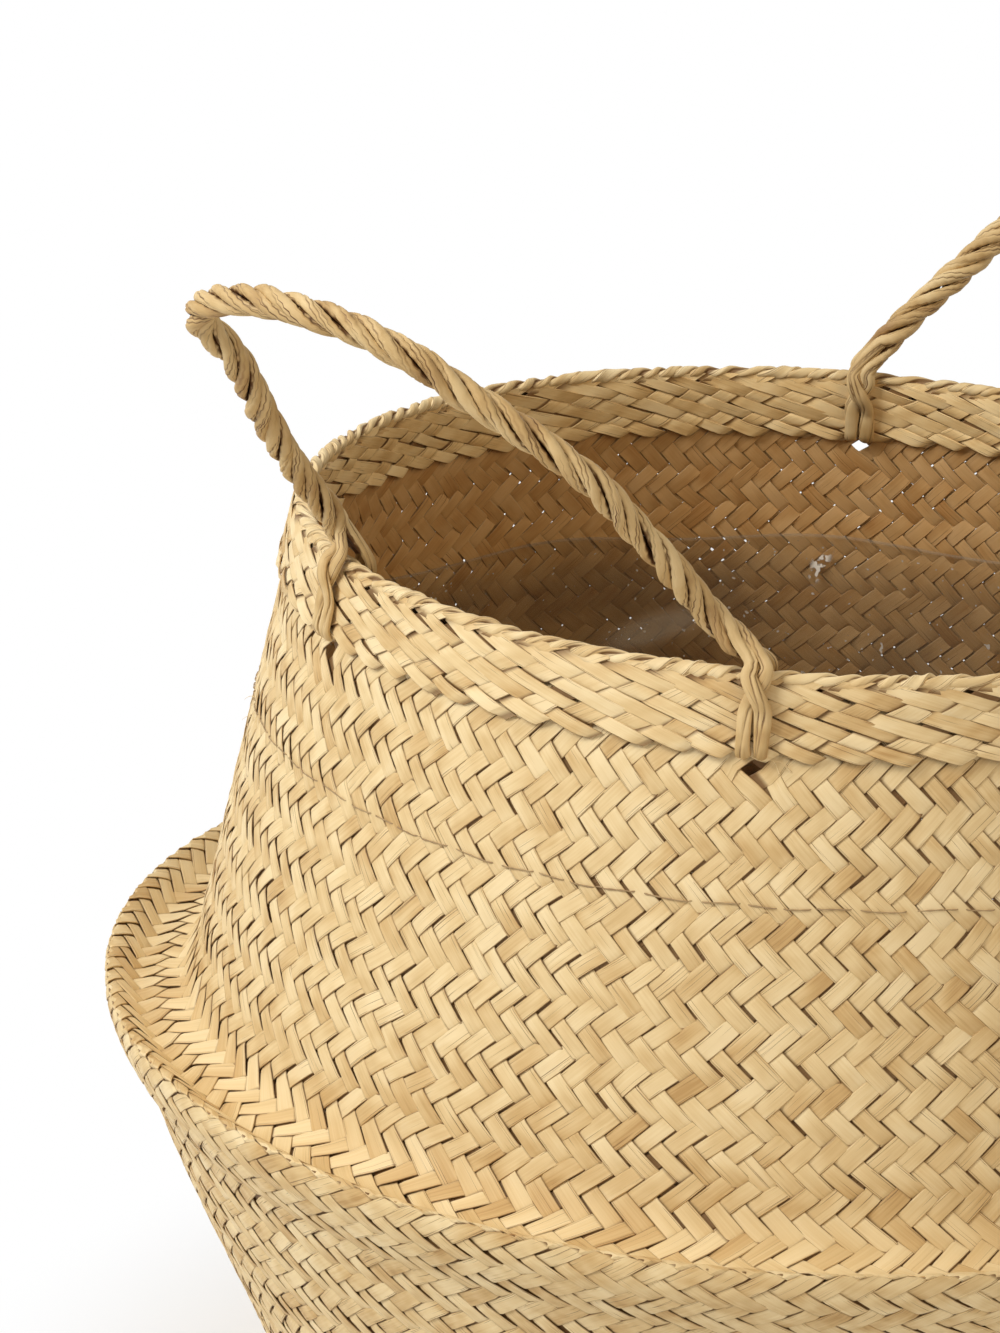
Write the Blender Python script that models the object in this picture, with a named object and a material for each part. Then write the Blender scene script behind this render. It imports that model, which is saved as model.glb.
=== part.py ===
"""A belly basket: a plaited sedge body with a folded belly, a stitched clear liner and two rope handles.

The origin is at the middle of the floor that the basket stands on, +Z is up, and lengths are in metres.
The handles stand over the -X side (left) and the +X side (right). The neck can be pressed down into
the belly, and each handle swings about the line through its two feet.
"""

import bmesh
import bpy
from math import cos, pi, radians, sin
from mathutils import Matrix, Vector
from mathutils.geometry import interpolate_bezier

# The plaited body's outer face, from the floor to the rim
HEIGHT = 0.352
MOUTH_RADIUS = 0.170
BELLY_RADIUS = 0.2327
THROAT_DEPTH = 0.0307
THROAT_RADIUS = BELLY_RADIUS - THROAT_DEPTH
THROAT_HEIGHT = 0.1795
BELLY_RISE = 0.0055
BELLY_HEIGHT = THROAT_HEIGHT + BELLY_RISE
WAIST_DEPTH = 0.0152
WAIST_RADIUS = BELLY_RADIUS - WAIST_DEPTH
WAIST_DROP = 0.034
WAIST_HEIGHT = BELLY_HEIGHT - WAIST_DROP
FLOOR_RADIUS = 0.138
HEEL_RADIUS = 0.028
GROOVE_RADIUS = 0.0127
WALL = 0.0024

# The outline's headings in degrees: 0 points outwards, 90 up
HEEL_HEADING = 72
WAIST_HEADING = 70
CREST_HEADING = 168
HANDLE_SHARE = 0.38

# The neck: the folding stretch ends where the stiff collar starts
COLLAR_DEPTH = 0.080
STITCH_DEPTH = 0.070
STITCH_THREAD = 0.0009

# The rim: strands folded over the wall's top edge, and a rolled edge on them
BAND_DEPTH = 0.021
BAND_LEAF = 0.0017
BAND_GAP = 0.0006
SCALLOP_DEPTH = 0.003
SCALLOPS = 77
ROLL_WIDTH = 0.0072
ROLL_THICKNESS = 0.0048

# The clear liner
LINER_FILM = 0.0006
LINER_GAP = 0.0008
LINER_HEM = 0.006

# The rope handles
ROPE_DIAMETER = 0.0098
ROPE_PLIES = 4
ROPE_LAY = 0.044
ROPE_VALLEY = 0.2
PLY_WIDTH = 0.0052
PLY_THICKNESS = 0.0042
FOOT_ANGLE = 27.2
BOW_RISE = 0.1285
LEFT_TILT = 42.0
RIGHT_TILT = 48.0
BOW_SHARES = (
    (-1.00, 0.00), (-1.045, 0.09), (-1.075, 0.18), (-1.08, 0.28), (-1.07, 0.38), (-1.045, 0.47),
    (-1.01, 0.57), (-0.98, 0.68), (-0.985, 0.76), (-1.02, 0.82), (-1.00, 0.875), (-0.92, 0.925),
    (-0.80, 0.965), (-0.61, 0.995), (-0.42, 1.00), (-0.24, 0.985), (-0.07, 0.945), (0.08, 0.885),
    (0.20, 0.81), (0.31, 0.735), (0.42, 0.655), (0.53, 0.57), (0.625, 0.48), (0.69, 0.39),
    (0.745, 0.285), (0.80, 0.175), (0.87, 0.075), (1.00, 0.00),
)
FOOT_GAP = 0.0007
FOOT_BEND = 0.0012
HOLE_RADIUS = 0.0068
HOLE_DROP = 0.0016

# Shared
GAP = 0.0003
OVERRUN = 0.010
TURN_STEPS = 48
BAND_STEPS = 2 * SCALLOPS
ROLL_SIDES = 8
ROPE_RINGS = 80
BEND_STEPS = 2
END_SLANTS = (24, 48, 72)
BOW_FINENESS = 16
HOLE_SIDES = 12
SHARP_ANGLE = 40

SEDGE = (0.78, 0.62, 0.38, 1.0)
SEDGE_DARK = (0.70, 0.53, 0.30, 1.0)
ROPE_SEDGE = (0.66, 0.50, 0.28, 1.0)
THREAD = (0.60, 0.48, 0.30, 1.0)
FILM = (0.86, 0.88, 0.88, 1.0)


def clear_scene():
    for old in list(bpy.data.objects):
        bpy.data.objects.remove(old, do_unlink=True)


def finish_material(name, colour, roughness, alpha=1.0):
    made = bpy.data.materials.new(name)
    made.use_nodes = True
    shader = made.node_tree.nodes["Principled BSDF"]
    shader.inputs["Base Color"].default_value = colour
    shader.inputs["Roughness"].default_value = roughness
    shader.inputs["Metallic"].default_value = 0.0
    shader.inputs["Alpha"].default_value = alpha
    return made


def add_object(name, mesh, material, origin=(0, 0, 0), parent=None):
    """Makes an object whose mesh, given in world places, is kept about its own origin."""
    origin = Vector(origin)
    mesh.transform(Matrix.Translation(-origin))
    mesh.materials.append(material)
    mesh.shade_smooth()
    mesh.set_sharp_from_angle(angle=radians(SHARP_ANGLE))
    made = bpy.data.objects.new(name, mesh)
    bpy.context.scene.collection.objects.link(made)
    made.location = origin
    if parent is not None:
        made.parent = parent
        made.location = origin - parent.location
    return made


def add_empty(name, place):
    made = bpy.data.objects.new(name, None)
    bpy.context.scene.collection.objects.link(made)
    made.location = place
    return made


def mesh_from(name, points, faces):
    made = bpy.data.meshes.new(name)
    made.from_pydata([tuple(p) for p in points], [], faces)
    made.update()
    return made


def skin_rings(name, rings, closed):
    """Joins rings of equal count into one closed body, with end caps unless the rings close on themselves."""
    count = len(rings[0])
    points = [p for ring in rings for p in ring]
    faces = []
    for i in range(len(rings) if closed else len(rings) - 1):
        a = i * count
        b = (i + 1) % len(rings) * count
        for k in range(count):
            n = (k + 1) % count
            faces.append((a + k, a + n, b + n, b + k))
    if not closed:
        faces.append(tuple(reversed(range(count))))
        faces.append(tuple(range(len(points) - count, len(points))))
    return mesh_from(name, points, faces)


def turn(name, section, steps):
    """Turns a closed section of (radius, height), outer face first and upwards, about the Z axis."""
    rings = []
    for k in range(steps):
        a = 2 * pi * k / steps
        rings.append([Vector((r * cos(a), r * sin(a), z)) for r, z in section])
    return skin_rings(name, rings[::-1], closed=True)


def heading(degrees):
    return Vector((cos(radians(degrees)), sin(radians(degrees)), 0))


def body_knots():
    """The outer face's knots, each a place (radius, height) and the way that the outline runs there."""
    lean = neck_heading()
    return {
        "floor": (Vector((FLOOR_RADIUS, 0, 0)), heading(0)),
        "heel": (Vector((FLOOR_RADIUS + HEEL_RADIUS, HEEL_RADIUS, 0)), heading(HEEL_HEADING)),
        "waist": (Vector((WAIST_RADIUS, WAIST_HEIGHT, 0)), heading(WAIST_HEADING)),
        "belly": (Vector((BELLY_RADIUS, BELLY_HEIGHT, 0)), heading(90)),
        "groove": (Vector((THROAT_RADIUS + GROOVE_RADIUS, THROAT_HEIGHT, 0)), heading(CREST_HEADING)),
        "throat": (Vector((THROAT_RADIUS, THROAT_HEIGHT + GROOVE_RADIUS, 0)), lean),
        "collar": (neck_point(HEIGHT - COLLAR_DEPTH), lean),
        "top": (neck_point(wall_top()), lean),
    }


def neck_slope():
    """How fast the neck's radius shrinks with height."""
    return (THROAT_RADIUS - MOUTH_RADIUS) / (HEIGHT - THROAT_HEIGHT - GROOVE_RADIUS)


def neck_heading():
    return Vector((-neck_slope(), 1, 0)).normalized()


def neck_radius(height):
    return MOUTH_RADIUS + neck_slope() * (HEIGHT - height)


def neck_point(height):
    return Vector((neck_radius(height), height, 0))


def outline(names, counts):
    """Points and headings along the outer face through the named knots, with a count for each stretch."""
    knots = body_knots()
    points = []
    for start, end, count in zip(names, names[1:], counts):
        (a, way_a), (b, way_b) = knots[start], knots[end]
        reach = HANDLE_SHARE * (b - a).length
        stretch = interpolate_bezier(a, a + way_a * reach, b - way_b * reach, b, count + 1)
        points += stretch if not points else stretch[1:]
    ways = [(after - before).normalized() for before, after in zip(points, points[2:])]
    ways = [knots[names[0]][1]] + ways + [knots[names[-1]][1]]
    return points, ways


def wall_section(points, ways, inset=0, thickness=WALL, first_gap=GAP, last_gap=GAP):
    """A wall inside an outline: its outer face upwards, then its inner face back down."""
    points = [p.copy() for p in points]
    points[0] += ways[0] * first_gap / 2
    points[-1] -= ways[-1] * last_gap / 2
    inward = [Vector((-w.y, w.x, 0)) for w in ways]
    outer = [p + n * inset for p, n in zip(points, inward)]
    inner = [p + n * (inset + thickness) for p, n in zip(points, inward)]
    return [(p.x, p.y) for p in outer + inner[::-1]]


def make_body_wall(name, names, counts, colour, parent=None, origin=(0, 0, 0), last_gap=GAP):
    points, ways = outline(names, counts)
    mesh = turn(name, wall_section(points, ways, last_gap=last_gap), TURN_STEPS)
    return add_object(name, mesh, finish_material(name, colour, 0.75), origin, parent)


def make_base_mat():
    radius = FLOOR_RADIUS - GAP / 2
    body = bmesh.new()
    bmesh.ops.create_circle(body, cap_ends=True, segments=TURN_STEPS, radius=radius)
    floor = list(body.faces)
    raised = bmesh.ops.extrude_face_region(body, geom=floor)["geom"]
    top = [v for v in raised if isinstance(v, bmesh.types.BMVert)]
    bmesh.ops.translate(body, verts=top, vec=(0, 0, WALL))
    bmesh.ops.recalc_face_normals(body, faces=body.faces)
    mesh = bpy.data.meshes.new("base_mat")
    body.to_mesh(mesh)
    body.free()
    add_object("base_mat", mesh, finish_material("base_mat", SEDGE_DARK, 0.8))


def wall_top():
    return HEIGHT - ROLL_THICKNESS - GAP - BAND_LEAF - BAND_GAP


def band_half():
    """Half the rim band's thickness, from the middle of the wall."""
    return WALL / 2 + BAND_GAP + BAND_LEAF


def wall_middle(height):
    return neck_radius(height) - WALL / 2


def make_rim_band(parent):
    """Folded strands over the wall's top edge, with a scalloped lower edge outside and inside."""
    low = HEIGHT - BAND_DEPTH
    top = HEIGHT - ROLL_THICKNESS - GAP
    shoulder = top - BAND_LEAF
    inner = WALL / 2 + BAND_GAP
    rings = []
    for k in range(BAND_STEPS):
        a = 2 * pi * k / BAND_STEPS
        outer_low = low - (SCALLOP_DEPTH if k % 2 else 0)
        inner_low = low - (0 if k % 2 else SCALLOP_DEPTH)
        section = (
            (band_half(), outer_low), (band_half(), top), (-band_half(), top), (-band_half(), inner_low),
            (-inner, inner_low), (-inner, shoulder), (inner, shoulder), (inner, outer_low),
        )
        places = [(wall_middle(z) + x, z) for x, z in section]
        rings.append([Vector((r * cos(a), r * sin(a), z)) for r, z in places])
    mesh = skin_rings("rim_band", rings[::-1], closed=True)
    add_object("rim_band", mesh, finish_material("rim_band", SEDGE, 0.7), parent.location, parent)


def make_rim_roll(parent):
    """The rolled edge that lies on the band all round."""
    middle = HEIGHT - ROLL_THICKNESS / 2
    reach = 1 / cos(pi / ROLL_SIDES)
    section = []
    for k in range(ROLL_SIDES):
        a = 2 * pi * (k + 0.5) / ROLL_SIDES
        z = middle + ROLL_THICKNESS / 2 * reach * sin(a)
        section.append((wall_middle(z) + ROLL_WIDTH / 2 * reach * cos(a), z))
    mesh = turn("rim_edge_roll", section, TURN_STEPS)
    material = finish_material("rim_edge_roll", SEDGE, 0.7)
    add_object("rim_edge_roll", mesh, material, parent.location, parent)


def make_liner():
    """The clear film bag: it stands on the mat, follows the lower wall and hangs from the stitches."""
    points, ways = outline(("floor", "heel", "waist"), (3, 4))
    points += [body_knots()["throat"][0], neck_point(HEIGHT - STITCH_DEPTH + LINER_HEM)]
    ways += [neck_heading(), neck_heading()]
    section = wall_section(points, ways, WALL + LINER_GAP, LINER_FILM, 0, 0)
    low = WALL + GAP
    section[0] = (section[0][0], low)
    section[-1] = (section[-1][0], low + LINER_FILM)
    section += [(0, low + LINER_FILM), (0, low)]
    mesh = turn_closed("liner", section)
    add_object("liner", mesh, finish_material("liner", FILM, 0.15, 0.35))


def turn_closed(name, section):
    """Turns a section whose last two points lie on the axis, where its ends close to a point each."""
    ring = section[:-2]
    points = []
    faces = []
    count = len(ring)
    for k in range(TURN_STEPS):
        a = 2 * pi * k / TURN_STEPS
        points += [(r * cos(a), r * sin(a), z) for r, z in ring]
    top = len(points)
    points += [(0, 0, section[-2][1]), (0, 0, section[-1][1])]
    for k in range(TURN_STEPS):
        a = k * count
        b = (k + 1) % TURN_STEPS * count
        for i in range(count - 1):
            faces.append((a + i, b + i, b + i + 1, a + i + 1))
        faces.append((a + count - 1, b + count - 1, top))
        faces.append((b, a, top + 1))
    return mesh_from(name, points, faces)


def make_stitch(parent):
    """The sewing thread's line round the neck, which holds the liner inside."""
    middle = HEIGHT - STITCH_DEPTH
    radius = neck_radius(middle) + GAP + STITCH_THREAD / 2
    section = []
    for x, z in ((1, 0), (0, 1), (-1, 0), (0, -1)):
        section.append((radius + STITCH_THREAD / 2 * x, middle + STITCH_THREAD / 2 * z))
    mesh = turn("liner_stitch", section, TURN_STEPS)
    material = finish_material("liner_stitch", THREAD, 0.8)
    add_object("liner_stitch", mesh, material, parent.location, parent)


def hinge_height():
    """The handles swing about the middle of the rope's end, which sits on the foot loops' crowns."""
    return HEIGHT + GAP + PLY_THICKNESS + GAP + ROPE_DIAMETER / 2


def foot_radius():
    """How far the feet are from the basket's axis: over the middle of the wall at the rim."""
    return wall_middle(HEIGHT)


def ply_section():
    """Two plies side by side, as places (along the rim, outwards from the loop's middle)."""
    half = PLY_THICKNESS / 2
    waist = half / 2
    return (
        (PLY_WIDTH, 0), (PLY_WIDTH * 3 / 4, half), (PLY_WIDTH / 4, half), (0, waist),
        (-PLY_WIDTH / 4, half), (-PLY_WIDTH * 3 / 4, half), (-PLY_WIDTH, 0),
        (-PLY_WIDTH * 3 / 4, -half), (-PLY_WIDTH / 4, -half), (0, -waist),
        (PLY_WIDTH / 4, -half), (PLY_WIDTH * 3 / 4, -half),
    )


def foot_low():
    """The height of the foot loops' middle line where it passes through the holes, below the band."""
    return HEIGHT - BAND_DEPTH - SCALLOP_DEPTH - FOOT_GAP - PLY_THICKNESS / 2


def loop_path():
    """A foot loop's middle line round the band, as (across the wall, height, outward way) places."""
    bend = FOOT_BEND + PLY_THICKNESS / 2
    side = max(band_half(), ROLL_WIDTH / 2) + FOOT_GAP + PLY_THICKNESS / 2 - bend
    top = HEIGHT + GAP + PLY_THICKNESS / 2 - bend
    low = foot_low() + bend
    places = []
    for x, z, start in ((side, top, 0), (-side, top, 90), (-side, low, 180), (side, low, 270)):
        for step in range(BEND_STEPS + 1):
            way = heading(start + 90 * step / BEND_STEPS)
            places.append((x + bend * way.x, z + bend * way.y, way))
    return places


def make_foot_loop(name, angle, parent):
    """Two of the rope's plies round the rim band, in through the hole below it and out over the rim."""
    radial = Vector((cos(angle), sin(angle), 0))
    along = Vector((-sin(angle), cos(angle), 0))
    rings = []
    for across, height, way in loop_path():
        middle = radial * (wall_middle(height) + across)
        middle.z = height
        outward = radial * way.x + Vector((0, 0, way.y))
        rings.append([middle + along * x + outward * y for x, y in ply_section()])
    mesh = skin_rings(name, rings[::-1], closed=True)
    add_object(name, mesh, finish_material(name, ROPE_SEDGE, 0.8), parent.location, parent)


def make_hole_cutter(name, angle):
    """A round cutter, square to the wall, for the hole that a foot's plies pass through."""
    low = foot_low() - HOLE_DROP
    radial = Vector((cos(angle), sin(angle), 0))
    body = bmesh.new()
    bmesh.ops.create_cone(
        body, cap_ends=True, segments=HOLE_SIDES, radius1=HOLE_RADIUS, radius2=HOLE_RADIUS, depth=2 * OVERRUN
    )
    mesh = bpy.data.meshes.new(name)
    body.to_mesh(mesh)
    body.free()
    cutter = bpy.data.objects.new(name, mesh)
    bpy.context.scene.collection.objects.link(cutter)
    cutter.rotation_mode = "QUATERNION"
    cutter.rotation_quaternion = radial.to_track_quat("Z", "Y")
    cutter.location = radial * wall_middle(low)
    cutter.location.z = low
    cutter.hide_render = True
    cutter.display_type = "WIRE"
    return cutter


def foot_angles():
    """Each foot's name and its angle about the basket's axis."""
    spread = radians(FOOT_ANGLE)
    return {
        "left_foot_front": pi + spread,
        "left_foot_back": pi - spread,
        "right_foot_front": -spread,
        "right_foot_back": spread,
    }


def make_collar(parent):
    """The stiff top of the neck, with a hole under the band for each of the four feet."""
    collar = make_body_wall(
        "neck_collar", ("collar", "top"), (3,), SEDGE, parent, parent.location, last_gap=0.0
    )
    for foot, angle in foot_angles().items():
        cut = collar.modifiers.new(foot + "_hole", "BOOLEAN")
        cut.operation = "DIFFERENCE"
        cut.solver = "EXACT"
        cut.object = make_hole_cutter(foot + "_cutter", angle)


def bow_path(half_span):
    """The bow's middle line in its own plane: X along the feet, Z up, evenly spaced."""
    knots = [Vector((half_span * x, 0, BOW_RISE * z)) for x, z in BOW_SHARES]
    knots = [2 * knots[0] - knots[1]] + knots + [2 * knots[-1] - knots[-2]]
    fine = []
    for a, b, c, d in zip(knots, knots[1:], knots[2:], knots[3:]):
        fine += interpolate_bezier(b, b + (c - a) / 6, c - (d - b) / 6, c, BOW_FINENESS + 1)[:-1]
    fine.append(knots[-2])
    return evenly_spaced(fine, ROPE_RINGS)


def evenly_spaced(points, count):
    lengths = [0.0]
    for a, b in zip(points, points[1:]):
        lengths.append(lengths[-1] + (b - a).length)
    places = []
    i = 0
    for k in range(count + 1):
        want = lengths[-1] * k / count
        while i < len(points) - 2 and lengths[i + 1] < want:
            i += 1
        share = (want - lengths[i]) / (lengths[i + 1] - lengths[i])
        places.append((points[i].lerp(points[i + 1], share), want))
    return places, lengths[-1]


def rope_ring(middle, way, radius, valley, run):
    """One section of the twisted rope: a ridge for each ply, and valleys between them."""
    side = Vector((0, 1, 0))
    up = way.cross(side)
    count = 2 * ROPE_PLIES
    ring = []
    for k in range(count):
        a = 2 * pi * (k / count + run / ROPE_LAY)
        r = radius * (1 - valley) if k % 2 else radius
        ring.append(middle + side * (r * cos(a)) + up * (r * sin(a)))
    return ring


def make_handle(name, side, tilt, parent):
    """A four-ply rope bow whose round ends sit on the foot loops, on the axis that it swings about."""
    spread = radians(FOOT_ANGLE)
    places, length = bow_path(foot_radius() * sin(spread))
    radius = ROPE_DIAMETER / 2
    rings = []
    for k, (middle, run) in enumerate(places):
        before = places[max(k - 1, 0)][0]
        after = places[min(k + 1, ROPE_RINGS)][0]
        fade = min(1.0, run / ROPE_DIAMETER, (length - run) / ROPE_DIAMETER)
        rings.append(rope_ring(middle, (after - before).normalized(), radius, ROPE_VALLEY * fade, run))
    rings = half_ball(places[0], places[1], radius, -1) + rings + half_ball(places[-1], places[-2], radius, 1)
    made = add_object(name, skin_rings(name, rings, closed=False), finish_material(name, ROPE_SEDGE, 0.8))
    made.parent = parent
    made.location = Vector((side * foot_radius() * cos(spread), 0, hinge_height())) - parent.location
    made.rotation_euler = (radians(tilt), 0, side * pi / 2)


def half_ball(end, inner, radius, side):
    """Rings of a half ball round the rope's end, so that it can turn on its seat."""
    outwards = (end[0] - inner[0]).normalized()
    rings = []
    for slant in END_SLANTS[::side]:
        middle = end[0] + outwards * (radius * sin(radians(slant)))
        rings.append(rope_ring(middle, outwards * side, radius * cos(radians(slant)), 0, end[1]))
    return rings


def main():
    clear_scene()
    slide = add_empty("neck_slide", (0, 0, THROAT_HEIGHT))
    make_base_mat()
    make_body_wall("lower_wall", ("floor", "heel", "waist"), (3, 4), SEDGE)
    make_body_wall("belly_fold", ("waist", "belly", "groove", "throat"), (3, 4, 2), SEDGE)
    make_body_wall("neck_fold", ("throat", "collar"), (3,), SEDGE)
    make_collar(slide)
    make_rim_band(slide)
    make_rim_roll(slide)
    make_liner()
    make_stitch(slide)
    for foot, angle in foot_angles().items():
        make_foot_loop(foot, angle, slide)
    make_handle("left_handle", -1, LEFT_TILT, slide)
    make_handle("right_handle", 1, RIGHT_TILT, slide)


main()
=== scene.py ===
"""The belly basket's looks: plaited strands, a banded rim, rope handles, and film with its stitches."""

import bpy
import numpy as np
from math import cos, pi, radians, sin
from mathutils import Matrix, Vector
from numpy.linalg import norm


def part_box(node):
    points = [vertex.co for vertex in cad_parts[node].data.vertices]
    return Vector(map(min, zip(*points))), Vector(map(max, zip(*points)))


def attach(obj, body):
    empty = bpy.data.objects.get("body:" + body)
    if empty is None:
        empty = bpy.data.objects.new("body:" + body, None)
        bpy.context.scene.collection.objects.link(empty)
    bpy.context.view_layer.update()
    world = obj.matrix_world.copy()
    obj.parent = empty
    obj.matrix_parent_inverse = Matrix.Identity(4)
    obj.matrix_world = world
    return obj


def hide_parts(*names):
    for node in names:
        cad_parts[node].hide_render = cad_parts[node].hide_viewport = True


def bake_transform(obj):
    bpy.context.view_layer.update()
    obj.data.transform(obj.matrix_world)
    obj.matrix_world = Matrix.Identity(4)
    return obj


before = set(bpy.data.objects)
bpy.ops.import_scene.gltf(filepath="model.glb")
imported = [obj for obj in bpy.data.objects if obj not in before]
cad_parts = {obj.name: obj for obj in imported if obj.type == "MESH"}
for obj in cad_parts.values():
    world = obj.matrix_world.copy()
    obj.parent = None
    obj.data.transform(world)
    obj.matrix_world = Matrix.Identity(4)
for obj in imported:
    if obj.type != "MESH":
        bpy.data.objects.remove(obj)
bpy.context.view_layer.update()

MM = 0.001

# The outline of the wall's outer face, as the solids have it. Headings are degrees up from outwards
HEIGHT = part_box("rim_edge_roll")[1][2]
MOUTH_RADIUS = 0.170
THROAT_RADIUS = 0.202
THROAT_HEIGHT = 0.1795
BELLY_RADIUS = 0.2327
BELLY_HEIGHT = 0.185
WAIST_RADIUS = 0.2175
WAIST_HEIGHT = 0.151
FLOOR_RADIUS = 0.138
HEEL_RADIUS = 0.028
GROOVE_RADIUS = 0.0127
THROAT_TOP = THROAT_HEIGHT + GROOVE_RADIUS
WALL = 0.0024
MIDDLE_RADIUS = MOUTH_RADIUS - WALL / 2
COLLAR_LOW = HEIGHT - 0.080
SEAM = COLLAR_LOW + 0.012
HEEL_HEADING = 72
WAIST_HEADING = 70
CREST_HEADING = 168
CURVE_SHARE = 0.38
CURVE_STEPS = 60
WAIST_KNOT = 2
THROAT_KNOT = 5

# The plait. A drift is how far it goes either way, and its spacing in crossings or metres
STRANDS = 140
RIM_WIDTH = 5.6 * MM
STRAND_WIDTH = 5.95 * MM
WIDENING = 90 * MM
STEEPEST = radians(66)
STRAND_THICKNESS = 0.55 * MM
STRAND_WAVE = 0.50 * MM
WIDTH_SHARE = 0.968
WIDTH_SPREAD = 0.05
STRAND_TILT = 0.16 * MM
SIDE_DRIFT = (0.07, 5.0)
WIDTH_DRIFT = (0.085, 4.0)
TILT_DRIFT = (0.22 * MM, 2.0)
BULGE_DRIFT = (0.10 * MM, 2.0)
TWILL_PERIOD = 4
TWILL_SQUARENESS = 2.9
TWILL_DIVE = 1.5
TWILL_ROWS = np.array([-0.72, -0.58, -0.46, -0.3, 0.5, 1.3, 1.46, 1.58, 1.72, 2.5])
ROW_GAP = 0.04
TOP_GAP = 7 * MM
FLOOR_EDGE = 1.5 * MM

# Uneven hands: size, count round the basket, change with each crossing, and start
WARP_ACROSS = ((0.16, 7, 0.31, 1.3), (0.12, 19, -0.23, 4.1))
WARP_UP = ((0.17, 11, 0.27, 2.2), (0.11, 23, 0.4, 0.7))

# A strand's section in half widths and half thicknesses, and which of its points are on the underside
SECTION_ACROSS = np.array([-1.0, -0.9, 0.0, 0.9, 1.0, 0.9, -0.9])
SECTION_UP = np.array([-0.15, 0.8, 1.15, 0.8, -0.15, -0.9, -0.9])
SECTION_UNDER = np.array([0.25, 0.0, 0.0, 0.0, 0.25, 1.0, 1.0])

# The holes for the rope's feet
FOOT_ANGLE = radians(27.2)
FEET = {"left": (pi - FOOT_ANGLE, pi + FOOT_ANGLE), "right": (-FOOT_ANGLE, FOOT_ANGLE)}
HOLE_HEIGHT = HEIGHT - 28.8 * MM
HOLE_SPREAD = 4.0 * MM
HOLE_REACH = 13 * MM
HOLE_FADE = 1.6

# The rim's band. Its strips end in a thumb, which is tucked in under the next strips
BAND_STRANDS = 77
BAND_STEP = 3.1 * MM
BAND_TOP = 3.4 * MM
BAND_SHEAR = 0.16
BAND_LIFT = 2.35 * MM
BAND_WAVE = 0.48 * MM
BAND_PLUMPNESS = 0.55
BAND_SWAY = 0.012
BAND_WIDTH_SPREAD = 0.10
BAND_WIDTH_DRIFT = (0.13, 1.5)
BAND_SIDE_DRIFT = (0.75 * MM, 2.2)
BAND_TILT_DRIFT = (0.40 * MM, 1.2)
BAND_DIVES = np.array([-0.34, -0.12, 0.12, 0.34])
BAND_EDGES = (2, 3, 5, 6)
BAND_FLATS = (-0.9, -0.2, 1.0, 4.0)
LONG_WIDTH = 4.5 * MM
SHORT_WIDTH = 6.4 * MM
BAND_END = 2.5 * MM
END_SQUEEZE = 0.1
END_SINK = 1.1 * MM
END_REACH = 2.2 * MM
THUMB_ROWS = (6.7, 6.95, 7.15, 7.3, 7.4)
THUMB_START = 5.9
THUMB_END = 7.45
THUMB_UNEVEN = 0.22
THUMB_NARROWING = 0.22
THUMB_LIFT = 0.35 * MM
THUMB_DIP = 1.7 * MM
# How much painted shade the thumb ends get where they curl under
THUMB_SHADE = 0.75

# The twist on the rim's edge. Waves are size, count round the basket and start
EDGE_TURNS = 62
EDGE_STEPS = 18
EDGE_SIDES = 12
EDGE_WAVES = ((1.3, 7, 0), (1.0, 19, 2))
EDGE_OUT = 1.3 * MM
EDGE_UP = 0.75 * MM
EDGE_LEAN = 0.15
EDGE_WIDE = 1.75
EDGE_THIN = 1.35 * MM
ROLL_MIDDLE = HEIGHT - 2.3 * MM

# The handles
HINGE_HEIGHT = HEIGHT + 9.7 * MM
BOW_RISE = 0.1285
LEFT_TILT = radians(42)
RIGHT_TILT = radians(48)
BOW_SHARES = (
    (-1.075, 0.01), (-1.075, 0.10), (-1.085, 0.19), (-1.085, 0.28), (-1.065, 0.37), (-1.05, 0.46),
    (-1.015, 0.56), (-0.98, 0.68), (-0.985, 0.76), (-1.02, 0.82), (-1.00, 0.875), (-0.92, 0.925),
    (-0.80, 0.965), (-0.61, 0.995), (-0.42, 1.00), (-0.24, 0.985), (-0.07, 0.945), (0.08, 0.885),
)
LEFT_LEG_SHARES = (
    (0.19, 0.81), (0.335, 0.725), (0.50, 0.62), (0.61, 0.52), (0.66, 0.40), (0.71, 0.29), (0.755, 0.175),
    (0.79, 0.06),
)
RIGHT_LEG_SHARES = (
    (0.20, 0.81), (0.31, 0.735), (0.42, 0.655), (0.53, 0.57), (0.635, 0.454), (0.705, 0.342),
    (0.767, 0.254), (0.828, 0.163), (0.883, 0.065),
)
BOW_POINTS = 400
PLANE_POINT = 120
KINK_PLACE = 0.35
KINK_SWELL = 0.06
KINK_REACH = 9 * MM

# The rope's plies
ROPE_LAY = 45 * MM
PLIES = 4
PLY_WIDE = 2.2 * MM
PLY_THIN = 2.1 * MM
PLY_ORBIT = 3.05 * MM
PLY_LEAN = radians(-14)
PLY_POINTS = 460
PLY_SIDES = 28
PLY_SPIN = 3.2
PLY_FOLDS = 4
FOLD_DEPTH = 0.15
FOLD_WIDTH = 0.24
FOLD_SHADE_WIDTH = 0.26
FOLD_DRIFT = (0.5, 0.02)
PHASE_DRIFT = (0.14, 0.024)
ORBIT_DRIFT = (0.07, 0.010)
SWELL_DRIFT = (0.13, 0.009)
# Painted shade in the valleys between plies: darkest near the first distance from the rope's middle, fading
# out over the rise
VALLEY = 2.7 * MM
VALLEY_RISE = 2.0 * MM

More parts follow.
